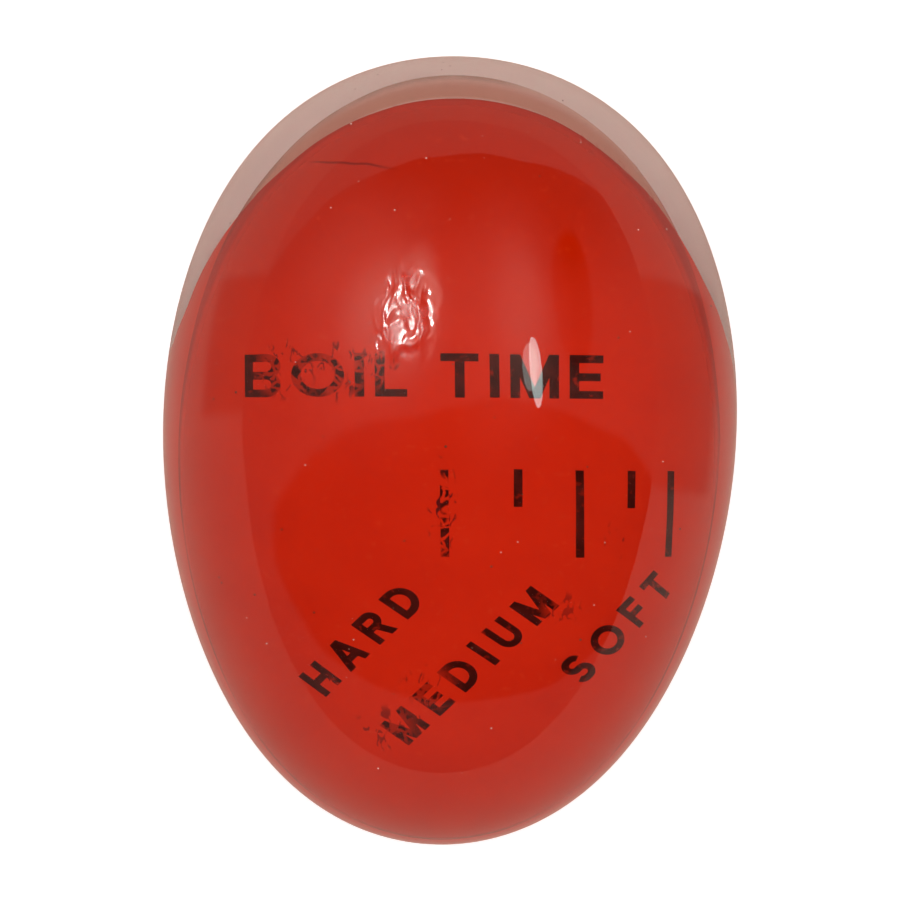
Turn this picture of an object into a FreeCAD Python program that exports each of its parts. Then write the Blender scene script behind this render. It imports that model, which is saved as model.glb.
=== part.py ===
import FreeCAD, Part
import math
import os

from FreeCAD import Vector

# Egg timer that is boiled with the eggs: a clear resin body with a flat base, cast in two
# pours that meet in the plane of the egg's long axis, around a red heat-sensitive core. A
# printed legend lies on the core's top face, under the thin film that carries it.
# Millimetres. +Z up, +Y to the blunt end, origin in the middle of the outline on the base.

# Clear body
LENGTH = 55.0            # along Y, blunt end to narrow end
WIDTH = 40.0             # at the widest section
BASE_DEPTH = 12.0        # egg's long axis above the flat base
TAPER = 0.067            # share by which the blunt half is wider than a plain oval
FULLNESS_2 = 0.040       # swell over a plain ellipse, factor of u^2
FULLNESS_4 = 0.047       # swell over a plain ellipse, factor of u^4
BASE_EDGE_R = 0.8        # rounding around the flat base

# Red core
CORE_BLUNT_GAP = 8.0     # clear resin beyond the core, blunt end
CORE_NARROW_GAP = 3.0    # clear resin beyond the core, narrow end
CORE_SIDE_GAP = 6.0      # clear resin beyond the core, each side
CORE_TAPER = 0.0         # as TAPER, for the core and the film over it
CORE_FLOOR = 1.5         # clear resin under the core

# Clear film that carries the printed legend, laid over the core before the dome is poured
FILM_THICKNESS = 0.12
FILM_BLUNT_OVERLAP = 1.9     # beyond the core, blunt end
FILM_NARROW_OVERLAP = 0.3    # beyond the core, narrow end
FILM_SIDE_OVERLAP = 0.5      # beyond the core, each side

# Printed legend, on the underside of the film
INK_DEPTH = 0.1          # ink, pressed flush into the core's top face
PRINT_TURN = 2.3         # degrees anticlockwise that the legend is laid askew
PRINT_SIDE_MARGIN = 2.8  # legend to the edge of the face, sides
PRINT_END_MARGIN = 6.75  # legend to the edge of the face, narrow end

# Legend artwork, in cap heights of the title, from the middle of the core's top face
ART_HALF_WIDTH = 4.41
ART_HALF_LENGTH = 5.96
TITLE = "BOIL TIME"
TITLE_MIDDLE = (-0.45, 2.72)
TITLE_GAP = 0.20
WORD_SPACE = 0.40
LABEL_CAP = 0.71
LABEL_GAP = 0.40
LABEL_ANGLE = 49.5
LABEL_STARTS = {"hard": (-2.35, -4.82), "medium": (-0.77, -5.92), "soft": (2.58, -4.53)}
TITLE_STROKE = 0.18      # share of a letter's own height
LABEL_STROKE = 0.215     # share of a letter's own height
MARK_NAMES = ("hard_mark", "hard_medium_mark", "medium_mark", "medium_soft_mark", "soft_mark")
MARK_FIRST_X = -0.05
MARK_TOP = 0.58
MARK_LONG = 2.05
MARK_SHORT = 0.87
MARK_STROKE = 0.16
MARK_SHRINK = 0.86       # each space over the one before

PROFILE_POINTS = 56      # along the egg's outline, end to end
PEAK_STEPS = 400         # search for the widest section
TOOL_SIZE = 4 * max(LENGTH, WIDTH)

axis_z = BASE_DEPTH
core_half_length = (LENGTH - CORE_BLUNT_GAP - CORE_NARROW_GAP) / 2
core_half_width = WIDTH / 2 - CORE_SIDE_GAP
core_y = (CORE_NARROW_GAP - CORE_BLUNT_GAP) / 2
film_half_length = core_half_length + (FILM_BLUNT_OVERLAP + FILM_NARROW_OVERLAP) / 2
film_half_width = core_half_width + FILM_SIDE_OVERLAP
film_y = core_y + (FILM_BLUNT_OVERLAP - FILM_NARROW_OVERLAP) / 2
title_cap = min((core_half_width - PRINT_SIDE_MARGIN) / ART_HALF_WIDTH,
                (core_half_length - PRINT_END_MARGIN) / ART_HALF_LENGTH)


def outline_radius(u, taper):
    """Radius of an egg's outline at u, which runs from -1 at the narrow end to 1 at the blunt end."""
    fullness = 1 + FULLNESS_2 * u**2 + FULLNESS_4 * u**4
    return math.sqrt(max(0.0, 1 - u**2)) * fullness * (1 + taper * u)


def egg_face(half_length, widest, taper, middle_y, level_z):
    """Half of an egg's outline, from its long axis out to +X, with the given radius where it is widest."""
    peak = max(outline_radius(i / PEAK_STEPS, taper) for i in range(PEAK_STEPS))
    points = []
    for i in range(PROFILE_POINTS + 1):
        u = -math.cos(math.pi * i / PROFILE_POINTS)
        radius = widest * outline_radius(u, taper) / peak
        points.append(Vector(radius, middle_y + half_length * u, level_z))
    outline = Part.BSplineCurve()
    outline.interpolate(Points=points, InitialTangent=Vector(1, 0, 0), FinalTangent=Vector(-1, 0, 0))
    long_axis = Part.makeLine(points[-1], points[0])
    return Part.Face(Part.Wire([outline.toShape(), long_axis]))


def half_egg(half_length, widest, taper, middle_y, side):
    """Half an egg, round about its long axis along Y: the upper half for side 1, the lower for -1."""
    half_face = egg_face(half_length, widest, taper, middle_y, axis_z)
    solid = half_face.revolve(Vector(0, 0, axis_z), Vector(0, -side, 0), 180)
    return solid.removeSplitter()


def slab(low_z, high_z):
    """Everything between two levels."""
    corner = Vector(-TOOL_SIZE / 2, -TOOL_SIZE / 2, low_z)
    return Part.makeBox(TOOL_SIZE, TOOL_SIZE, high_z - low_z, corner)


def round_base_edge(shape):
    """Rounds the outline of the flat base."""
    base_edges = [e for e in shape.Edges if abs(e.BoundBox.ZMax) < 1e-4 and abs(e.BoundBox.ZMin) < 1e-4]
    return shape.makeFillet(BASE_EDGE_R, base_edges)


# Strokes of the letters. Each letter is drawn with its cap height as 1.

def bar(start, end, stroke):
    """Straight stroke with square ends."""
    (x0, y0), (x1, y1) = start, end
    length = math.hypot(x1 - x0, y1 - y0)
    block = Part.makeBox(length, stroke, 1.0, Vector(0, -stroke / 2, 0))
    block.rotate(Vector(0, 0, 0), Vector(0, 0, 1), math.degrees(math.atan2(y1 - y0, x1 - x0)))
    block.translate(Vector(x0, y0, 0))
    return block


def arc(middle, radius, start_deg, sweep_deg, stroke):
    """Round stroke, anticlockwise from start_deg."""
    outer = Part.makeCylinder(radius + stroke / 2, 1.0, Vector(0, 0, 0), Vector(0, 0, 1), sweep_deg)
    inner = Part.makeCylinder(radius - stroke / 2, 1.0, Vector(0, 0, 0), Vector(0, 0, 1), sweep_deg)
    ring = outer.cut(inner)
    ring.rotate(Vector(0, 0, 0), Vector(0, 0, 1), start_deg)
    ring.translate(Vector(middle[0], middle[1], 0))
    return ring


def letter(name, s):
    """Strokes of one capital, s thick, and its width."""
    left, low, mid, high = s / 2, s / 2, 0.5, 1 - s / 2
    bowl = (high - mid) / 2

    def stem(x):
        return bar((x, 0), (x, 1), s)

    def shelf(y, x0, x1):
        return bar((x0, y), (x1, y), s)

    if name == "I":
        return [stem(left)], s
    if name == "L":
        width = 0.60
        return [stem(left), shelf(low, 0, width)], width
    if name in "EF":
        width = 0.64
        levels = (low, mid, high) if name == "E" else (mid, high)
        return [stem(left)] + [shelf(y, 0, width - (0.05 if y == mid else 0)) for y in levels], width
    if name == "T":
        width = 0.70
        return [stem(width / 2), shelf(high, 0, width)], width
    if name == "H":
        width = 0.74
        return [stem(left), stem(width - left), shelf(mid, 0, width)], width
    if name == "M":
        width = 0.90
        dip = (width / 2, -0.02)
        slopes = [bar((x, 1), dip, s) for x in (left, width - left)]
        return [stem(left), stem(width - left)] + slopes, width
    if name == "A":
        width = 0.80
        peak = (width / 2, 1.04)
        slopes = [bar((x, -0.04), peak, s) for x in (left - 0.02, width - left + 0.02)]
        return slopes + [shelf(0.31, 0.22, width - 0.22)], width
    if name in "BR":
        width = 0.74
        turn = width - left - bowl
        strokes = [stem(left)] + [shelf(y, left, turn) for y in (mid, high)]
        strokes.append(arc((turn, (mid + high) / 2), bowl, -90, 180, s))
        if name == "B":
            strokes += [shelf(low, left, turn), arc((turn, (low + mid) / 2), bowl, -90, 180, s)]
        else:
            strokes.append(bar((turn - 0.02, mid), (width - left + 0.02, -0.04), s))
        return strokes, width
    if name == "D":
        width = 0.78
        radius = (high - low) / 2
        turn = width - left - radius
        return [stem(left), shelf(low, left, turn), shelf(high, left, turn),
                arc((turn, mid), radius, -90, 180, s)], width
    if name == "O":
        return [arc((0.5, mid), 0.5 - s / 2, 0, 360, s)], 1.0
    if name == "U":
        width = 0.74
        radius = (width - s) / 2
        sides = [bar((x, radius + low), (x, 1), s) for x in (left, width - left)]
        return sides + [arc((width / 2, radius + low), radius, 180, 180, s)], width
    if name == "S":
        width = 0.70
        x0, x1 = left + bowl, width - left - bowl
        upper, lower = (mid + high) / 2, (low + mid) / 2
        return [arc((x1, upper), bowl, 20, 70, s), shelf(high, x0, x1), arc((x0, upper), bowl, 90, 180, s),
                shelf(mid, x0, x1), arc((x1, lower), bowl, -90, 180, s), shelf(low, x0, x1),
                arc((x0, lower), bowl, 200, 70, s)], width
    raise ValueError(name)


def word(text, gap, cap, stroke):
    """Letters side by side, one solid each, and the length of the word."""
    solids, x = [], 0.0
    for name in text:
        if name == " ":
            x += WORD_SPACE
            continue
        strokes, width = letter(name, stroke)
        cell = Part.makeBox(width, 1.0, 1.0)
        shape = strokes[0].multiFuse(strokes[1:]) if len(strokes) > 1 else strokes[0]
        shape = shape.common(cell).removeSplitter()
        shape.translate(Vector(x, 0, 0))
        solids.append(shape)
        x += width + gap
    group = Part.makeCompound(solids)
    group.scale(cap)
    return group, (x - gap) * cap


def onto_face(shape, x, y, angle=0.0):
    """Puts artwork on the core's top face and gives it the thickness of the ink."""
    shape.rotate(Vector(0, 0, 0), Vector(0, 0, 1), angle)
    shape.translate(Vector(x, y, 0))
    shape.rotate(Vector(0, 0, 0), Vector(0, 0, 1), PRINT_TURN)
    shape.translate(Vector(0, core_y, axis_z - INK_DEPTH))
    return shape.common(slab(axis_z - INK_DEPTH, axis_z))


def ink_title():
    text, length = word(TITLE, TITLE_GAP, title_cap, TITLE_STROKE)
    x = TITLE_MIDDLE[0] * title_cap - length / 2
    y = (TITLE_MIDDLE[1] - 0.5) * title_cap
    return onto_face(text, x, y)


def ink_label(name):
    text, length = word(name.upper(), LABEL_GAP, LABEL_CAP * title_cap, LABEL_STROKE)
    x, y = (value * title_cap for value in LABEL_STARTS[name])
    return onto_face(text, x, y, LABEL_ANGLE)


def ink_marks():
    """Five scale marks, long and short in turn, closer together towards soft."""
    last_x = ART_HALF_WIDTH - MARK_STROKE / 2
    steps = len(MARK_NAMES) - 1
    marks = {}
    for i, name in enumerate(MARK_NAMES):
        reach = (1 - MARK_SHRINK**i) / (1 - MARK_SHRINK**steps)
        x = MARK_FIRST_X + (last_x - MARK_FIRST_X) * reach
        length = MARK_LONG if i % 2 == 0 else MARK_SHORT
        line = bar((x, MARK_TOP - length), (x, MARK_TOP), MARK_STROKE)
        line.scale(title_cap)
        marks[name] = onto_face(line, 0, 0)
    return marks


def carrier_film():
    """Thin clear sheet over the core, its outline that of the core with a wider border."""
    half = egg_face(film_half_length, film_half_width, CORE_TAPER, film_y, axis_z)
    sheet = half.extrude(Vector(0, 0, FILM_THICKNESS))
    return sheet.fuse(sheet.mirror(Vector(0, 0, 0), Vector(1, 0, 0))).removeSplitter()


def build():
    body_size = (LENGTH / 2, WIDTH / 2, TAPER, 0.0)
    core_size = (core_half_length, core_half_width, CORE_TAPER, core_y)
    core = half_egg(*core_size, -1).common(slab(CORE_FLOOR, axis_z))

    nodes = {"title_print": ink_title()}
    for name in LABEL_STARTS:
        nodes[name + "_label"] = ink_label(name)
    nodes.update(ink_marks())
    ink = list(nodes.values())

    film = carrier_film()
    nodes["print_film"] = film
    nodes["clear_dome"] = half_egg(*body_size, 1).cut(film)
    nodes["clear_base"] = round_base_edge(half_egg(*body_size, -1).common(slab(0, axis_z))).cut(core)
    nodes["colour_core"] = core.cut(ink)
    return nodes


os.makedirs("parts", exist_ok=True)
for node, shape in build().items():
    print(f"{node:18s} solids {len(shape.Solids):2d}  volume {shape.Volume:9.3f}  valid {shape.isValid()}")
    shape.exportStep(f"parts/{node}.step")
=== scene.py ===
import math

import bmesh
import bpy
import numpy as np
from mathutils import Matrix, Vector


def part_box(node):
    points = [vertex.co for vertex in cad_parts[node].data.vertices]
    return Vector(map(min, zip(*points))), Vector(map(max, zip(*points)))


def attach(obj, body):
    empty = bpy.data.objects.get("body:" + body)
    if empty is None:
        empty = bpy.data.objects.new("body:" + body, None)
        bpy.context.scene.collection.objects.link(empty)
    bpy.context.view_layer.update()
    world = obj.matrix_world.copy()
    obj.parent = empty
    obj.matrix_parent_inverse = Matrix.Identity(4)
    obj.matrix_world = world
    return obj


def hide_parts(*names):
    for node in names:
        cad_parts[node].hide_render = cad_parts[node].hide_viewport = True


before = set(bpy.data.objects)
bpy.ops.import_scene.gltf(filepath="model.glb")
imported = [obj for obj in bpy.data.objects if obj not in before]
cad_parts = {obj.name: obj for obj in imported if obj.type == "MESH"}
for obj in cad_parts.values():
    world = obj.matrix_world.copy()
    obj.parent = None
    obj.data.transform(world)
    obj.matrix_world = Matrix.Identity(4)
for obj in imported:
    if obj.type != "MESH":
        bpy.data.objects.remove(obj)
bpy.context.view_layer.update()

# Sizes in metres, angles in radians. Where a CAD node gives a size, it is read from that node's box.

MM = 0.001


def oval_of(node):
    """Half width, half length and the y of the middle of a CAD node."""
    low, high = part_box(node)
    return (high.x - low.x) / 2, (high.y - low.y) / 2, (high.y + low.y) / 2


# Shape of the outline, as in the CAD model
TAPER = 0.067
FULLNESS_2 = 0.040
FULLNESS_4 = 0.047
BASE_EDGE_R = 0.8 * MM

HALF_WIDTH, HALF_LENGTH, _ = oval_of("clear_dome")
CORE_HALF_WIDTH, CORE_HALF_LENGTH, CORE_MIDDLE_Y = oval_of("colour_core")
FILM_HALF_WIDTH, FILM_HALF_LENGTH, FILM_MIDDLE_Y = oval_of("print_film")
AXIS_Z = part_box("clear_base")[1].z
core_low, core_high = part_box("colour_core")
FACE_Z = core_high.z
INK_PROUD = 0.005 * MM
CORE_TOP_Z = FACE_Z - INK_PROUD
FILM_CLEARANCE = 0.02 * MM
FILM_TOP_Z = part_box("print_film")[1].z

WHITE = (1, 1, 1, 1)

# Clear casting. Its skin is wavy all over, scratched, and pocked in one place over the print.
RESIN_IOR = 1.50
RESIN_TINT, RESIN_DENSITY = (0.985, 0.93, 0.88, 1), 12.0
WAVE_HEIGHT = 0.06 * MM
POCK_HEIGHT = 0.28 * MM
SCRATCH_HEIGHT = 0.002 * MM
SEAM_HEIGHT = 0.03 * MM
SEAM_INNER, SEAM_OUTER = 0.02 * MM, 0.12 * MM
SCAR_MIDDLE = (-0.0033, 0.0076, 0.0310)
SCAR_REACH = (0.0028, 0.0042, 0.0060)

# Clear resin wets the buried pieces all over, so they have an index near 1, which gives no gloss
BURIED_IOR = 1.0
FILM_IOR = 1.02

RED = (0.69, 0.0215, 0.0045, 1)
RED_CLOUD = (0.65, 0.0185, 0.004, 1)
# Painted shade: the red darkens to this tone towards the blunt end
RED_BLUNT_END_SHADE = (0.57, 0.020, 0.005, 1)
RED_GRAIN = (0.73, 0.048, 0.014, 1)
# Where the painted shade towards the blunt end starts and ends along y
BLUNT_END_SHADE_FROM_Y, BLUNT_END_SHADE_TO_Y = 0.004, 0.019

INK = (0.045, 0.0028, 0.0014, 1)
INK_THIN = (0.085, 0.007, 0.005, 1)
INK_STRAY = (0.10, 0.006, 0.006, 1)
STRAY_DEPTH = 0.1 * MM
PRINT_SHAKE = (0.0009, 0.0009, 0.0009)

# Where the print has crumpled: middle, reach and strength of each place
CRUMPLES = [
    ((-0.0078, 0.0045, FACE_Z), (0.0020, 0.0026, 0.004), 0.62),
    ((-0.0053, 0.0045, FACE_Z), (0.0017, 0.0026, 0.004), 0.68),
    ((-0.0034, 0.0052, FACE_Z), (0.0013, 0.0022, 0.004), 0.62),
    ((-0.0002, -0.0034, FACE_Z), (0.0009, 0.0043, 0.004), 0.95),
    ((0.0081, -0.0052, FACE_Z), (0.0008, 0.0024, 0.004), 0.60),
    ((-0.0026, -0.0166, FACE_Z), (0.0020, 0.0020, 0.004), 0.55),
    ((-0.0006, -0.0140, FACE_Z), (0.0018, 0.0018, 0.004), 0.55),
    ((0.0057, -0.0090, FACE_Z), (0.0014, 0.0014, 0.004), 0.50),
]

FILM_OVER_CORE = (0.99, 0.98, 0.97, 1)
# Painted shade with a red glow from the core, on the film just past the core's outline
FILM_PAINTED_SHADE = (0.74, 0.42, 0.34, 1)
# Painted shade along the film's creases
FILM_CREASE_SHADE = (0.30, 0.10, 0.08, 1)
FILM_EDGE = (0.52, 0.34, 0.28, 1)
# How strongly the painted shade is laid along the creases
CREASE_SHADE_STRENGTH = 0.45
CREASE_SHAKE = (0.0012, 0.0012, 0.0012)

# Creases of the film: middle, turn and half length of each
CREASES = [
    ((-0.0053, 0.0162, FACE_Z), -0.06, 0.0026),
    ((-0.0150, 0.0125, FACE_Z), 1.25, 0.0030),
    ((0.0160, -0.0035, FACE_Z), -1.35, 0.0035),
]

AIR_PALE, AIR_DEEP = (0.95, 0.80, 0.74, 1), (0.80, 0.50, 0.42, 1)
DUST_DARK, DUST_PALE = (0.05, 0.02, 0.015, 1), (0.20, 0.09, 0.06, 1)

# What is caught in the resin just above the face: the inputs of the tree that scatters it
SCATTERED_AIR = {
    "air_bubbles": {
        "Count": 70, "Seed": 11, "Smallest": 0.012 * MM, "Largest": 0.062 * MM,
        "Low corner": (-0.015, -0.024, FACE_Z + 0.0002), "High corner": (0.015, 0.018, FACE_Z + 0.0009),
        "Oval middle": (0, -0.002, FACE_Z), "Oval reach": (0.014, 0.021, 0.01),
    },
    "rim_bubbles": {
        "Count": 40, "Seed": 5, "Smallest": 0.015 * MM, "Largest": 0.060 * MM,
        "Low corner": (-0.014, 0.012, FACE_Z + 0.0002), "High corner": (0.014, 0.025, FACE_Z + 0.0030),
        "Oval middle": (0, 0.004, FACE_Z), "Oval reach": (0.0165, 0.0200, 0.01),
    },
}
SCATTERED_DUST = {
    "dust_specks": {
        "Count": 46, "Seed": 3, "Smallest": 0.015 * MM, "Largest": 0.070 * MM,
        "Low corner": (-0.016, -0.024, FACE_Z + 0.0002), "High corner": (0.016, 0.025, FACE_Z + 0.0020),
        "Oval middle": (0, 0.003, FACE_Z), "Oval reach": (0.0165, 0.0215, 0.01),
    },
}

# Floor: how the camera sees it, what shines through the resin from under it, and what it looks like
# past the side of the object, with a darker wedge on each side
FLOOR_HALF = 3.0
FLOOR_DROP = 0.1 * MM
FLOOR_SEEN, FLOOR_SEEN_GLOW = (0.92, 0.92, 0.92, 1), 0.42
UNDER_TINT, UNDER_GLOW_TINT, UNDER_GLOW = (1.0, 0.85, 0.77, 1), (0.7, 1.0, 0.95, 1), 0.10
FLOOR_TINT = (0.64, 0.47, 0.39, 1)
FLOOR_DARK = (0.36, 0.26, 0.21, 1)
FLOOR_WEDGES = [     # side, low and high angle, start from the middle
    (-1, 0.05, 0.42, 0.062),
    (1, -0.10, 0.46, 0.042),
]
WEDGE_SOFTNESS = 0.02
WEDGE_START_SOFTNESS = 0.15

# Even light of the studio, from the horizon to straight up
LIGHT_TINT = (1, 0.95, 0.935, 1)
LIGHT_LOW, LIGHT_HIGH = 0.46, 1.34

# What polished surfaces mirror, in plan: 0 is straight up, 1 is the horizon.
# Each place has a middle, a reach, a softness and the change that it makes to the tone.
ROOM_TINT = (1.0, 0.80, 0.68, 1)
ROOM_TONE = 0.29
ROOM_WOBBLE = (0.10, 0.10, 0.0)
ROOM_PLACES = [
    ((0.20, -0.27), (1.00, 0.31), 0.035, -0.25),
    ((-0.33, 0.28), (0.26, 0.24), 0.80, 0.42),
    ((0.20, 0.25), (0.17, 0.22), 0.80, 0.40),
    ((0.12, 0.60), (0.62, 0.30), 0.45, -0.25),
    ((0.47, 0.29), (0.095, 0.17), 0.15, -0.20),
    ((-0.23, 0.21), (0.13, 0.10), 0.95, 1.50),
    ((-0.13, 0.24), (0.05, 0.09), 0.80, 1.90),
    ((0.235, 0.235), (0.08, 0.13), 0.90, 0.50),
    ((-0.54, 0.76), (0.22, 0.15), 0.35, 0.13),
]
BACKDROP_MIDDLE, BACKDROP_REACH, BACKDROP_TONE = (0.30, -0.25), (1.60, 1.00), 0.47
BACKDROP_SOFTNESS = 0.008

# Cards: degrees from straight up towards +X and towards +Y, lean in degrees, size, radiance and colour
CARD_DISTANCE = 0.6
STUDIO_CARDS = [
    ("window_card", 32.5, 12.5, 11, (0.050, 0.150), 8.0, (0.75, 1, 0.96)),
    ("window_frame_card", 30.0, 13.0, 6, (0.060, 0.100), 3.0, (0.75, 1, 0.96)),
    ("side_window_card", -20.5, 22.0, -25, (0.06, 0.12), 60.0, (0.85, 1, 0.97)),
]

CAMERA_TILT = math.radians(4)
CAMERA_ROLL = math.radians(2.3)
CAMERA_DISTANCE = 0.45
CAMERA_LENS, CAMERA_SENSOR = 258, 36      # in millimetres
CAMERA_CLIP = 0.01
CAMERA_X = 0.08 * MM


# Shader helpers

def new_material(name):
    material = bpy.data.materials.new(name)
    material.use_nodes = True
    material.node_tree.nodes.clear()
    return material, material.node_tree


def add_node(tree, kind, **settings):
    """Adds a node. A setting that names one of its sockets fills that socket, any other its property."""
    node = tree.nodes.new(kind)
    for name, value in settings.items():
        label = name.replace("_", " ")
        if label in node.inputs:
            node.inputs[label].default_value = value
        else:
            setattr(node, name, value)
    return node


def feed(tree, source, socket):
    """Joins a socket to another node's output, or gives it a plain value."""
    if isinstance(source, bpy.types.NodeSocket):
        tree.links.new(source, socket)
    else:
        socket.default_value = source


def maths(tree, operation, *values, clamp=False):
    node = add_node(tree, "ShaderNodeMath", operation=operation, use_clamp=clamp)
    for value, socket in zip(values, node.inputs):
        feed(tree, value, socket)
    return node.outputs[0]


def vectors(tree, operation, *values):
    node = add_node(tree, "ShaderNodeVectorMath", operation=operation)
    for value, socket in zip(values, node.inputs):
        feed(tree, value, socket)
    return node.outputs["Value" if operation == "LENGTH" else "Vector"]


def coordinate(tree, at, axis):
    split = add_node(tree, "ShaderNodeSeparateXYZ")
    feed(tree, at, split.inputs[0])
    return split.outputs[axis]


def alike(tree, value):
    """Vector with the same value along each axis."""
    node = add_node(tree, "ShaderNodeCombineXYZ")
    for socket in node.inputs:
        feed(tree, value, socket)
    return node.outputs[0]


def oval_distance(tree, at, middle, reach):
    """Distance from the middle of an oval whose outline is at 1."""
    away = vectors(tree, "DIVIDE", vectors(tree, "SUBTRACT", at, middle), reach)
    return vectors(tree, "LENGTH", away)


def fade(tree, value, start, end, low=0.0, high=1.0):
    """Smooth step: low before start, high past end."""
    node = add_node(tree, "ShaderNodeMapRange", interpolation_type="SMOOTHSTEP",
                    From_Min=start, From_Max=end, To_Min=low, To_Max=high)
    feed(tree, value, node.inputs["Value"])
    return node.outputs[0]


def blend_colours(tree, share, first, second):
    node = add_node(tree, "ShaderNodeMix", data_type="RGBA")
    feed(tree, share, node.inputs["Factor"])
    feed(tree, first, node.inputs[6])
    feed(tree, second, node.inputs[7])
    return node.outputs[2]


def noise(tree, at, scale, detail=2.0, distortion=0.0, output="Fac"):
    node = add_node(tree, "ShaderNodeTexNoise", Detail=detail, Distortion=distortion)
    feed(tree, scale, node.inputs["Scale"])
    feed(tree, at, node.inputs["Vector"])
    return node.outputs[output]


def shaken(tree, at, scale, detail, reach):
    """Position moved to and fro by up to half the reach along each axis."""
    shake = vectors(tree, "SUBTRACT", noise(tree, at, scale, detail, output="Color"), (0.5, 0.5, 0.5))
    return vectors(tree, "ADD", at, vectors(tree, "MULTIPLY", shake, reach))


def stretched(tree, at, turn, scale):
    """Position scaled along its axes, so that a pattern is drawn out along one of them, and then turned."""
    node = add_node(tree, "ShaderNodeMapping", Rotation=turn, Scale=scale)
    feed(tree, at, node.inputs["Vector"])
    return node.outputs[0]


def bumped(tree, height, distance, normal=None):
    node = add_node(tree, "ShaderNodeBump", Distance=distance, Strength=1.0)
    feed(tree, height, node.inputs["Height"])
    if normal is not None:
        feed(tree, normal, node.inputs["Normal"])
    return node.outputs[0]


def object_position(tree):
    return add_node(tree, "ShaderNodeTexCoord").outputs["Object"]


def attribute(tree, name):
    return add_node(tree, "ShaderNodeAttribute", attribute_name=name).outputs["Fac"]


def principled(tree, colour, **settings):
    shader = add_node(tree, "ShaderNodeBsdfPrincipled", **settings)
    feed(tree, colour, shader.inputs["Base Color"])
    return shader


def finish_material(tree, shader, volume=None):
    output = add_node(tree, "ShaderNodeOutputMaterial")
    tree.links.new(shader.outputs[0], output.inputs["Surface"])
    if volume:
        tree.links.new(volume.outputs[0], output.inputs["Volume"])


def new_group(name, inputs, outputs):
    group = bpy.data.node_groups.new(name, "ShaderNodeTree")
    for label, kind in inputs:
        group.interface.new_socket(label, in_out="INPUT", socket_type="NodeSocket" + kind)
    for label, kind in outputs:
        group.interface.new_socket(label, in_out="OUTPUT", socket_type="NodeSocket" + kind)
    return group, group.nodes.new("NodeGroupInput").outputs, group.nodes.new("NodeGroupOutput").inputs


def use_group(tree, group, **values):
    node = tree.nodes.new("ShaderNodeGroup")
    node.node_tree = group
    for name, value in values.items():
        feed(tree, value, node.inputs[name])
    return node.outputs


# Effects that the materials use

def patch_group():
    """Soft round patch: 1 at its middle, 0 past its reach."""
    given_sockets = [("Position", "Vector"), ("Middle", "Vector"), ("Reach", "Vector")]
    group, given, made = new_group("soft patch", given_sockets, [("Share", "Float")])
    away = oval_distance(group, given["Position"], given["Middle"], given["Reach"])
    feed(group, fade(group, away, 1.0, 0.45), made["Share"])
    return group


def worn_print_group(patch):
    """Where the print has crumpled: Bare is ink that has gone, Stray is ink that lies beside its stroke."""
    group, given, made = new_group("worn print", [("Position", "Vector"), ("Wear", "Float")],
                                   [("Bare", "Float"), ("Stray", "Float")])
    at = given["Position"]
    moved = shaken(group, at, 900, 3, PRINT_SHAKE)
    crumpled = 0.0
    for middle, reach, strength in CRUMPLES:
        share = use_group(group, patch, Position=at, Middle=middle, Reach=reach)["Share"]
        crumpled = maths(group, "MAXIMUM", maths(group, "MULTIPLY", share, strength), crumpled)
    ridges = add_node(group, "ShaderNodeTexVoronoi", feature="DISTANCE_TO_EDGE", Scale=1500)
    feed(group, moved, ridges.inputs["Vector"])
    cracks = fade(group, ridges.outputs["Distance"], 0.16, 0.05)
    torn = fade(group, noise(group, moved, 1300, 4, 0.6), 0.52, 0.62)
    faint = fade(group, noise(group, at, 2300, 3), 0.58, 0.75, 0.0, 0.35)
    lost = maths(group, "MULTIPLY", crumpled, maths(group, "MAXIMUM", torn, cracks))
    bare = maths(group, "MULTIPLY", maths(group, "MAXIMUM", lost, faint), given["Wear"], clamp=True)
    feed(group, bare, made["Bare"])
    folded = stretched(group, moved, (0, 0, 0.12), (1.0, 0.26, 1.0))
    flecks = fade(group, noise(group, folded, 2300, 4, 1.5), 0.57, 0.63)
    stray = maths(group, "MULTIPLY", fade(group, crumpled, 0.15, 0.8), flecks, clamp=True)
    feed(group, stray, made["Stray"])
    return group


def surface_wear_group():
    """Hairline scratches and rubbed places on polished plastic."""
    given_sockets = [("Position", "Vector"), ("Scale", "Float"), ("Amount", "Float")]
    made_sockets = [("Scratches", "Float"), ("Rubbed", "Float")]
    group, given, made = new_group("surface wear", given_sockets, made_sockets)
    fine = maths(group, "MULTIPLY", given["Scale"], 9.0)
    lines = 0.0
    for turn in (0.3, 1.4, 2.3):
        lie = stretched(group, given["Position"], (0.4, turn, turn * 1.7), (1, 0.02, 1))
        lines = maths(group, "MAXIMUM", lines, fade(group, noise(group, lie, fine, 1), 0.69, 0.73))
    rubbed = fade(group, noise(group, given["Position"], given["Scale"], 3), 0.50, 0.72)
    scratches = maths(group, "MULTIPLY", maths(group, "MULTIPLY", lines, rubbed), given["Amount"])
    feed(group, scratches, made["Scratches"])
    feed(group, maths(group, "MULTIPLY", rubbed, given["Amount"]), made["Rubbed"])
    return group


# Materials

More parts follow.
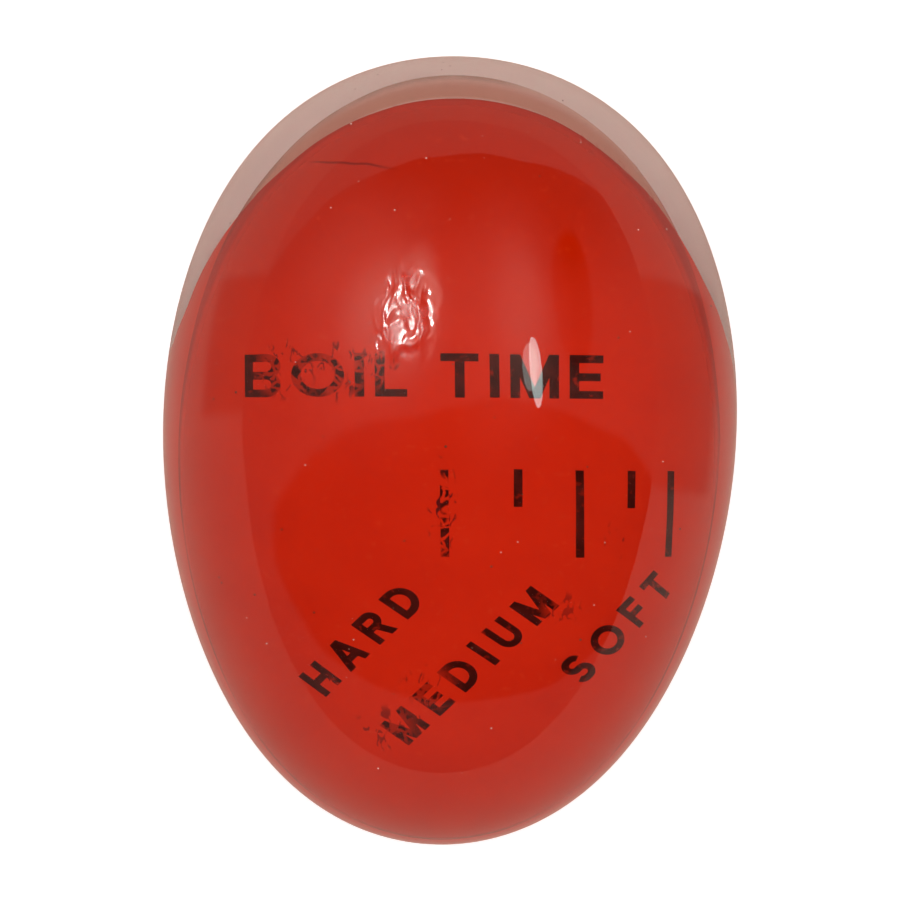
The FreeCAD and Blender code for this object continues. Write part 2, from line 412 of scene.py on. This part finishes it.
def clear_resin(patch, wear):
    """Polished clear casting with a trace of the seam between its two pours."""
    material, tree = new_material("clear_resin")
    at = object_position(tree)
    marks = use_group(tree, wear, Position=at, Scale=140.0, Amount=1.0)
    scar = use_group(tree, patch, Position=at, Middle=SCAR_MIDDLE, Reach=SCAR_REACH)["Share"]
    drawn_out = stretched(tree, at, (0, 0, -0.25), (1.0, 0.45, 1.0))
    pocks = maths(tree, "SUBTRACT", noise(tree, drawn_out, 760, 2, 0.6), 0.5)
    from_seam = maths(tree, "ABSOLUTE", maths(tree, "SUBTRACT", coordinate(tree, at, "Z"), AXIS_Z))
    skin = bumped(tree, noise(tree, at, 120, 1), WAVE_HEIGHT)
    skin = bumped(tree, maths(tree, "MULTIPLY", scar, pocks), POCK_HEIGHT, skin)
    skin = bumped(tree, marks["Scratches"], SCRATCH_HEIGHT, skin)
    skin = bumped(tree, fade(tree, from_seam, SEAM_INNER, SEAM_OUTER), SEAM_HEIGHT, skin)
    hazed = maths(tree, "MULTIPLY", scar, fade(tree, noise(tree, at, 700, 3), 0.40, 0.62, 0.08, 0.30))
    shader = principled(tree, WHITE, IOR=RESIN_IOR, Transmission_Weight=1.0)
    feed(tree, maths(tree, "MULTIPLY_ADD", marks["Rubbed"], 0.05, hazed), shader.inputs["Roughness"])
    feed(tree, skin, shader.inputs["Normal"])
    tint = add_node(tree, "ShaderNodeVolumeAbsorption", Color=RESIN_TINT, Density=RESIN_DENSITY)
    finish_material(tree, shader, tint)
    return material


def red_resin(worn):
    """Colour-changing casting: red with slightly uneven pigment, and with painted shade that makes it darker
    towards the blunt end. Stray ink lies on its face where the print crumpled."""
    material, tree = new_material("red_resin")
    at = object_position(tree)
    cloud = fade(tree, noise(tree, at, 170, 4), 0.35, 0.70)
    # Share of painted shade, rising towards the blunt end
    blunt_end_shade = fade(tree, coordinate(tree, at, "Y"), BLUNT_END_SHADE_FROM_Y, BLUNT_END_SHADE_TO_Y)
    grains = fade(tree, noise(tree, at, 2400, 2), 0.62, 0.75, 0.0, 0.35)
    stray = use_group(tree, worn, Position=at, Wear=1.0)["Stray"]
    on_face = fade(tree, coordinate(tree, at, "Z"), FACE_Z - 2 * STRAY_DEPTH, FACE_Z - STRAY_DEPTH)
    body = blend_colours(tree, cloud, RED, RED_CLOUD)
    # Painted shade: the red darkens towards the blunt end
    body = blend_colours(tree, blunt_end_shade, body, RED_BLUNT_END_SHADE)
    body = blend_colours(tree, grains, body, RED_GRAIN)
    body = blend_colours(tree, maths(tree, "MULTIPLY", stray, on_face, clamp=True), body, INK_STRAY)
    finish_material(tree, principled(tree, body, Roughness=0.35, IOR=BURIED_IOR))
    return material


def ink(worn):
    """Black print, torn open where it has crumpled, so that the red shows through."""
    material, tree = new_material("ink")
    at = object_position(tree)
    bare = use_group(tree, worn, Position=at, Wear=1.0)["Bare"]
    tone = blend_colours(tree, fade(tree, noise(tree, at, 900, 3), 0.4, 0.7), INK, INK_THIN)
    tone = blend_colours(tree, bare, tone, RED)
    finish_material(tree, principled(tree, tone, Roughness=0.5, IOR=BURIED_IOR))
    return material


def film_plastic():
    """Thin clear sheet. Past the core it carries painted shade with a painted red glow from the core, most
    near the core. Its cut edge is a dark hairline, and its few creases are hairlines of painted shade."""
    material, tree = new_material("film_plastic")
    at = object_position(tree)
    outside = attribute(tree, "outside_core_mm")
    # Share of painted shade with red glow: rises just outside the core, then fades further out
    film_shade_share = maths(tree, "MULTIPLY", fade(tree, outside, 0.20, 0.60),
                   fade(tree, outside, 1.0, 2.3, 1.0, 0.35))
    creases = 0.0
    for middle, turn, half_length in CREASES:
        own = add_node(tree, "ShaderNodeMapping", vector_type="TEXTURE",
                       Location=middle, Rotation=(0, 0, turn))
        feed(tree, shaken(tree, at, 260, 2, CREASE_SHAKE), own.inputs["Vector"])
        along = maths(tree, "ABSOLUTE", coordinate(tree, own.outputs[0], "X"))
        beside = maths(tree, "ABSOLUTE", coordinate(tree, own.outputs[0], "Y"))
        line = fade(tree, beside, 0.09 * MM, 0.03 * MM)
        ends = fade(tree, along, half_length, half_length * 0.4)
        creases = maths(tree, "MAXIMUM", creases, maths(tree, "MULTIPLY", line, ends))
    uneven = fade(tree, noise(tree, at, 140, 2), 0.35, 0.65)
    # Painted shade with a red glow past the core
    shade = blend_colours(tree, film_shade_share, FILM_OVER_CORE, FILM_PAINTED_SHADE)
    # Painted shade along each crease
    shade = blend_colours(tree, maths(tree, "MULTIPLY", creases, CREASE_SHADE_STRENGTH), shade, FILM_CREASE_SHADE)
    shade = blend_colours(tree, maths(tree, "MULTIPLY", attribute(tree, "edge"), uneven), shade, FILM_EDGE)
    finish_material(tree, principled(tree, shade, Roughness=0.0, IOR=FILM_IOR, Transmission_Weight=1.0))
    return material


def trapped_air():
    """Bubbles in the casting look silvery, because their walls turn light back."""
    material, tree = new_material("trapped_air")
    sheen = blend_colours(tree, noise(tree, object_position(tree), 3000, 2), AIR_PALE, AIR_DEEP)
    finish_material(tree, principled(tree, sheen, Roughness=0.25, Metallic=1.0))
    return material


def trapped_dust():
    """Dark grains caught in the casting."""
    material, tree = new_material("trapped_dust")
    tone = blend_colours(tree, noise(tree, object_position(tree), 2500, 2), DUST_DARK, DUST_PALE)
    finish_material(tree, principled(tree, tone, Roughness=0.7, IOR=BURIED_IOR))
    return material


# Clear body, core and film

def outline_radius(u, taper):
    """Share of the half width at u along the egg, from -1 at the narrow end to 1 at the blunt end."""
    def profile(v):
        ellipse = np.sqrt(np.clip(1 - v**2, 0, None))
        return ellipse * (1 + FULLNESS_2 * v**2 + FULLNESS_4 * v**4) * (1 + taper * v)
    widest = profile(np.linspace(0, 0.3, 400)).max()
    return profile(u) / widest


def body_depth(points):
    """Signed distance to the clear body's outside, near enough: below 0 inside."""
    step = 1e-5
    u = np.clip(points[:, 1] / HALF_LENGTH, -1 + 2 * step, 1 - 2 * step)
    radius = HALF_WIDTH * outline_radius(u, TAPER)
    rise = outline_radius(u + step, TAPER) - outline_radius(u - step, TAPER)
    slope = rise * HALF_WIDTH / (2 * step * HALF_LENGTH)
    from_axis = np.hypot(points[:, 0], points[:, 2] - AXIS_Z)
    egg = (from_axis - radius) / np.hypot(1, slope)
    base = -points[:, 2]
    rounded = np.hypot(np.clip(egg + BASE_EDGE_R, 0, None), np.clip(base + BASE_EDGE_R, 0, None))
    return np.minimum(np.maximum(egg, base), -BASE_EDGE_R) + rounded


def mesh_object(name, mesh):
    piece = bpy.data.objects.new(name, mesh)
    bpy.context.scene.collection.objects.link(piece)
    return piece


def shape_object(name, shape):
    """Object with a bmesh as its mesh. Frees the bmesh."""
    mesh = bpy.data.meshes.new(name)
    shape.to_mesh(mesh)
    shape.free()
    return mesh_object(name, mesh)


def clear_body():
    """Dome and base as the one clear block they are bonded into, so that light meets no wall between them.
    Each corner of a fine ball moves along its own line from the middle until it lies on the outside."""
    halvings = 40
    shape = bmesh.new()
    bmesh.ops.create_icosphere(shape, subdivisions=7, radius=1.0)
    body = shape_object("clear_body", shape)
    mesh = body.data
    ways = np.empty(len(mesh.vertices) * 3)
    mesh.vertices.foreach_get("co", ways)
    ways = ways.reshape(-1, 3) * np.array([HALF_WIDTH, HALF_LENGTH, HALF_WIDTH])
    middle = np.array([0, 0, AXIS_Z * 0.9])
    near, far = np.zeros(len(ways)), np.full(len(ways), 1.5)
    for _ in range(halvings):
        reach = (near + far) / 2
        inside = body_depth(middle + ways * reach[:, None]) < 0
        near, far = np.where(inside, reach, near), np.where(inside, far, reach)
    points = middle + ways * near[:, None]
    mesh.vertices.foreach_set("co", points.ravel())
    mesh.polygons.foreach_set("use_smooth", [True] * len(mesh.polygons))
    mesh.update()
    return body


def red_core():
    """The lower half of an oval body with its bottom cut flat. Finer than its CAD node, because the dome
    magnifies its outline."""
    along, around = 200, 64
    sharp = math.radians(35)
    shape = bmesh.new()

    def vertex(x, y, z):
        return shape.verts.new((x, y, max(z, core_low.z)))

    u = np.sin(np.linspace(-math.pi / 2, math.pi / 2, along + 1))[1:-1]
    angles = [math.pi * step / around for step in range(around + 1)]
    strips = []
    for y, radius in zip(CORE_MIDDLE_Y + CORE_HALF_LENGTH * u, CORE_HALF_WIDTH * outline_radius(u, 0.0)):
        strips.append([vertex(radius * math.cos(a), y, CORE_TOP_Z - radius * math.sin(a)) for a in angles])
    tips = [vertex(0, y, CORE_TOP_Z) for y in (core_low.y, core_high.y)]
    for first, second in zip(strips, strips[1:]):
        shape.faces.new((first[0], second[0], second[-1], first[-1]))
        for a in range(around):
            shape.faces.new((first[a], first[a + 1], second[a + 1], second[a]))
    for strip, tip in ((strips[0], tips[0]), (strips[-1], tips[1])):
        shape.faces.new((tip, strip[-1], strip[0]))
        for a in range(around):
            shape.faces.new((tip, strip[a], strip[a + 1]))
    bmesh.ops.recalc_face_normals(shape, faces=shape.faces)
    for face in shape.faces:
        face.smooth = True
    for edge in shape.edges:
        edge.smooth = edge.calc_face_angle(0) < sharp
    return shape_object("red_core", shape)


def outside_core(x, y):
    """How far a point lies outside the core's outline, measured along the line from the core's middle."""
    along = (y - CORE_MIDDLE_Y) / CORE_HALF_LENGTH
    across = x / (CORE_HALF_WIDTH * (1 + FULLNESS_2 * along**2 + FULLNESS_4 * along**4))
    return (1 - 1 / max(1.0, math.hypot(along, across))) * math.hypot(x, y - CORE_MIDDLE_Y)


def film():
    """Thin sheet between the core and the dome, with its outline from the film's CAD node. It keeps two
    attributes: edge is 1 on its rim, and outside_core_mm is how far past the core each point lies."""
    rings, around = 60, 200
    shape = bmesh.new()
    edge = shape.verts.layers.float.new("edge")
    outside = shape.verts.layers.float.new("outside_core_mm")
    sides = []
    for z in (FACE_Z + FILM_CLEARANCE, FILM_TOP_Z - FILM_CLEARANCE):
        centre = shape.verts.new((0, FILM_MIDDLE_Y, z))
        loops = []
        for ring in range(1, rings + 1):
            share = ring / rings
            loop = []
            for step in range(around):
                angle = 2 * math.pi * step / around
                u = math.cos(angle)
                rim_x = FILM_HALF_WIDTH * float(outline_radius(np.array([u]), 0.0)[0])
                x = math.copysign(rim_x, math.sin(angle))
                vert = shape.verts.new((x * share, FILM_MIDDLE_Y + FILM_HALF_LENGTH * u * share, z))
                vert[edge] = float(ring == rings)
                vert[outside] = outside_core(vert.co.x, vert.co.y) / MM
                loop.append(vert)
            loops.append(loop)
        for j in range(around):
            shape.faces.new((centre, loops[0][j], loops[0][j - 1]))
            for inner, outer in zip(loops, loops[1:]):
                shape.faces.new((inner[j - 1], inner[j], outer[j], outer[j - 1]))
        sides.append(loops)
    under, over = sides[0][-1], sides[1][-1]
    for j in range(around):
        shape.faces.new((under[j - 1], under[j], over[j], over[j - 1]))
    bmesh.ops.recalc_face_normals(shape, faces=shape.faces)
    return shape_object("carrier_film", shape)


# Bubbles and dust, scattered by one geometry tree

def scatter_tree():
    """Small round bodies at random places in a box, kept where they lie inside an oval."""
    tree = bpy.data.node_groups.new("scatter", "GeometryNodeTree")
    for label, kind in (("Count", "Int"), ("Seed", "Int"),
                        ("Low corner", "Vector"), ("High corner", "Vector"),
                        ("Oval middle", "Vector"), ("Oval reach", "Vector"),
                        ("Smallest", "Float"), ("Largest", "Float"), ("Finish", "Material")):
        tree.interface.new_socket(label, in_out="INPUT", socket_type="NodeSocket" + kind)
    tree.interface.new_socket("Geometry", in_out="OUTPUT", socket_type="NodeSocketGeometry")
    given = tree.nodes.new("NodeGroupInput").outputs
    places = add_node(tree, "FunctionNodeRandomValue", data_type="FLOAT_VECTOR")
    feed(tree, given["Low corner"], places.inputs[0])
    feed(tree, given["High corner"], places.inputs[1])
    feed(tree, given["Seed"], places.inputs["Seed"])
    points = tree.nodes.new("GeometryNodePoints")
    feed(tree, given["Count"], points.inputs["Count"])
    feed(tree, places.outputs[0], points.inputs["Position"])
    spot = tree.nodes.new("GeometryNodeInputPosition").outputs[0]
    away = oval_distance(tree, spot, given["Oval middle"], given["Oval reach"])
    kept = tree.nodes.new("GeometryNodeDeleteGeometry")
    feed(tree, points.outputs[0], kept.inputs["Geometry"])
    feed(tree, maths(tree, "GREATER_THAN", away, 1.0), kept.inputs["Selection"])
    ball = add_node(tree, "GeometryNodeMeshIcoSphere", Radius=1.0, Subdivisions=2)
    sizes = add_node(tree, "FunctionNodeRandomValue", data_type="FLOAT")
    feed(tree, given["Smallest"], sizes.inputs[2])
    feed(tree, given["Largest"], sizes.inputs[3])
    feed(tree, maths(tree, "ADD", given["Seed"], 7.0), sizes.inputs["Seed"])
    spread = tree.nodes.new("GeometryNodeInstanceOnPoints")
    feed(tree, kept.outputs[0], spread.inputs["Points"])
    feed(tree, ball.outputs["Mesh"], spread.inputs["Instance"])
    feed(tree, sizes.outputs[1], spread.inputs["Scale"])
    solid = tree.nodes.new("GeometryNodeRealizeInstances")
    feed(tree, spread.outputs[0], solid.inputs[0])
    smooth = tree.nodes.new("GeometryNodeSetShadeSmooth")
    feed(tree, solid.outputs[0], smooth.inputs["Geometry"])
    finish = tree.nodes.new("GeometryNodeSetMaterial")
    feed(tree, smooth.outputs[0], finish.inputs["Geometry"])
    feed(tree, given["Finish"], finish.inputs["Material"])
    feed(tree, finish.outputs[0], tree.nodes.new("NodeGroupOutput").inputs["Geometry"])
    return tree


def scatter(name, tree, finish, inputs):
    """One mesh of everything that the tree scatters for these inputs."""
    piece = mesh_object(name, bpy.data.meshes.new(name + "_seed"))
    modifier = piece.modifiers.new("scatter", "NODES")
    modifier.node_group = tree
    values = {"Finish": finish, **inputs}
    for item in tree.interface.items_tree:
        if item.in_out == "INPUT":
            modifier[item.identifier] = values[item.name]
    evaluated = piece.evaluated_get(bpy.context.evaluated_depsgraph_get())
    mesh = bpy.data.meshes.new_from_object(evaluated)
    piece.modifiers.clear()
    piece.data = mesh
    return piece


# Studio

def studio_card(name, across, along, lean, size, radiance, colour):
    """Oval window that polished surfaces mirror."""
    up = Vector((math.tan(math.radians(across)), math.tan(math.radians(along)), 1)).normalized()
    side = Vector((0, 1, 0)).cross(up).normalized()
    facing = Matrix((side, up.cross(side), up)).transposed().to_4x4()
    turn = facing @ Matrix.Rotation(math.radians(lean), 4, "Z")
    area = math.pi / 4 * size[0] * size[1]
    light = bpy.data.lights.new(name, "AREA")
    light.shape = "ELLIPSE"
    light.size, light.size_y = size
    light.energy = radiance * math.pi * area
    light.color = colour
    lamp = bpy.data.objects.new(name, light)
    lamp.matrix_world = Matrix.Translation(up * CARD_DISTANCE) @ turn
    lamp.visible_diffuse = False
    lamp.visible_transmission = False
    bpy.context.scene.collection.objects.link(lamp)


def floor_tone(tree):
    """Colour of the floor past the side of the object: even, but darker in each wedge."""
    at = object_position(tree)
    away = vectors(tree, "LENGTH", at)
    dark = 0.0
    for side, low, high, start in FLOOR_WEDGES:
        outwards = maths(tree, "MULTIPLY", coordinate(tree, at, "X"), side)
        angle = maths(tree, "ARCTAN2", coordinate(tree, at, "Y"), outwards)
        wedge = maths(tree, "MULTIPLY",
                      fade(tree, angle, low - WEDGE_SOFTNESS, low + WEDGE_SOFTNESS),
                      fade(tree, angle, high + WEDGE_SOFTNESS, high - WEDGE_SOFTNESS))
        begun = fade(tree, away, start * (1 - WEDGE_START_SOFTNESS), start * (1 + WEDGE_START_SOFTNESS))
        dark = maths(tree, "MAXIMUM", dark, maths(tree, "MULTIPLY", wedge, begun))
    return blend_colours(tree, dark, FLOOR_TINT, FLOOR_DARK)


def floor():
    corners = [(x * FLOOR_HALF, y * FLOOR_HALF, 0) for x, y in ((-1, -1), (1, -1), (1, 1), (-1, 1))]
    mesh = bpy.data.meshes.new("floor")
    mesh.from_pydata(corners, [], [(0, 1, 2, 3)])
    plane = mesh_object("floor", mesh)
    plane.location.z = -FLOOR_DROP
    material, tree = new_material("floor")
    path = add_node(tree, "ShaderNodeLightPath")
    seen = principled(tree, FLOOR_SEEN, Roughness=0.9,
                      Emission_Color=WHITE, Emission_Strength=FLOOR_SEEN_GLOW)
    through = principled(tree, UNDER_TINT, Roughness=0.9,
                         Emission_Color=UNDER_GLOW_TINT, Emission_Strength=UNDER_GLOW)
    around = add_node(tree, "ShaderNodeBsdfDiffuse")
    feed(tree, floor_tone(tree), around.inputs["Color"])
    unseen = add_node(tree, "ShaderNodeMixShader")
    mix = add_node(tree, "ShaderNodeMixShader")
    for shader, socket in ((around, unseen.inputs[1]), (through, unseen.inputs[2]),
                           (unseen, mix.inputs[1]), (seen, mix.inputs[2])):
        tree.links.new(shader.outputs[0], socket)
    tree.links.new(path.outputs["Is Transmission Ray"], unseen.inputs[0])
    tree.links.new(path.outputs["Is Camera Ray"], mix.inputs[0])
    finish_material(tree, mix)
    mesh.materials.append(material)


def room_tone(tree, way):
    """Tone that a polished surface mirrors from each direction."""
    height = alike(tree, maths(tree, "ADD", coordinate(tree, way, "Z"), 1.0))
    flat = vectors(tree, "DIVIDE", vectors(tree, "MULTIPLY", way, (1, 1, 0)), height)
    flat = shaken(tree, flat, 2.2, 2, ROOM_WOBBLE)
    tone = ROOM_TONE
    for middle, reach, softness, change in ROOM_PLACES:
        away = oval_distance(tree, flat, (*middle, 0.0), (*reach, 1.0))
        share = fade(tree, away, 1.0 + softness, 1.0 - softness)
        tone = maths(tree, "ADD", tone, maths(tree, "MULTIPLY", share, change))
    away = oval_distance(tree, flat, (*BACKDROP_MIDDLE, 0.0), (*BACKDROP_REACH, 1.0))
    outside = fade(tree, away, 1.0 - BACKDROP_SOFTNESS, 1.0 + BACKDROP_SOFTNESS)
    return maths(tree, "ADD", maths(tree, "MULTIPLY", tone, maths(tree, "SUBTRACT", 1.0, outside)),
                 maths(tree, "MULTIPLY", outside, BACKDROP_TONE))


def surroundings():
    """Even soft light. Mirrored in polished surfaces, the room is dimmer, with paler and darker places."""
    world = bpy.data.worlds.new("studio")
    world.use_nodes = True
    tree = world.node_tree
    tree.nodes.clear()
    way = add_node(tree, "ShaderNodeTexCoord").outputs["Generated"]
    room = add_node(tree, "ShaderNodeBackground", Color=ROOM_TINT)
    feed(tree, room_tone(tree, way), room.inputs["Strength"])
    even = add_node(tree, "ShaderNodeBackground", Color=LIGHT_TINT)
    height = coordinate(tree, way, "Z")
    feed(tree, fade(tree, height, 0.0, 1.0, LIGHT_LOW, LIGHT_HIGH), even.inputs["Strength"])
    path = add_node(tree, "ShaderNodeLightPath")
    mirrored = maths(tree, "MULTIPLY", path.outputs["Is Glossy Ray"],
                     maths(tree, "SUBTRACT", 1.0, path.outputs["Is Transmission Ray"]))
    mix = add_node(tree, "ShaderNodeMixShader")
    output = add_node(tree, "ShaderNodeOutputWorld")
    tree.links.new(mirrored, mix.inputs[0])
    tree.links.new(even.outputs[0], mix.inputs[1])
    tree.links.new(room.outputs[0], mix.inputs[2])
    tree.links.new(mix.outputs[0], output.inputs["Surface"])
    bpy.context.scene.world = world


def camera():
    target = Vector((CAMERA_X, 0, AXIS_Z))
    data = bpy.data.cameras.new("camera")
    data.sensor_width = CAMERA_SENSOR
    data.lens = CAMERA_LENS
    data.clip_start = CAMERA_CLIP
    eye = bpy.data.objects.new("camera", data)
    eye.matrix_world = (Matrix.Translation(target) @ Matrix.Rotation(CAMERA_TILT, 4, "X")
                        @ Matrix.Rotation(CAMERA_ROLL, 4, "Z") @ Matrix.Translation((0, 0, CAMERA_DISTANCE)))
    bpy.context.scene.collection.objects.link(eye)
    bpy.context.scene.camera = eye


# The timer

def place(piece, material, slot, *nodes):
    piece.data.materials.append(material)
    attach(piece, "root")
    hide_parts(*nodes)


patch = patch_group()
worn = worn_print_group(patch)
wear = surface_wear_group()
resin, red, black, clear_film = clear_resin(patch, wear), red_resin(worn), ink(worn), film_plastic()

place(clear_body(), resin, "clear_resin", "clear_dome", "clear_base")
place(red_core(), red, "red_resin", "colour_core")
place(film(), clear_film, "clear_film", "print_film")

tree = scatter_tree()
for finish, pieces in ((trapped_air(), SCATTERED_AIR), (trapped_dust(), SCATTERED_DUST)):
    for name, inputs in pieces.items():
        piece = scatter(name, tree, finish, inputs)
        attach(piece, "root")

for name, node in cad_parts.items():
    if name.endswith(("_print", "_label", "_mark")):
        node.data.materials.clear()
        node.data.materials.append(black)

floor()
surroundings()
for card in STUDIO_CARDS:
    studio_card(*card)
camera()
bpy.context.scene.view_settings.view_transform = "Standard"
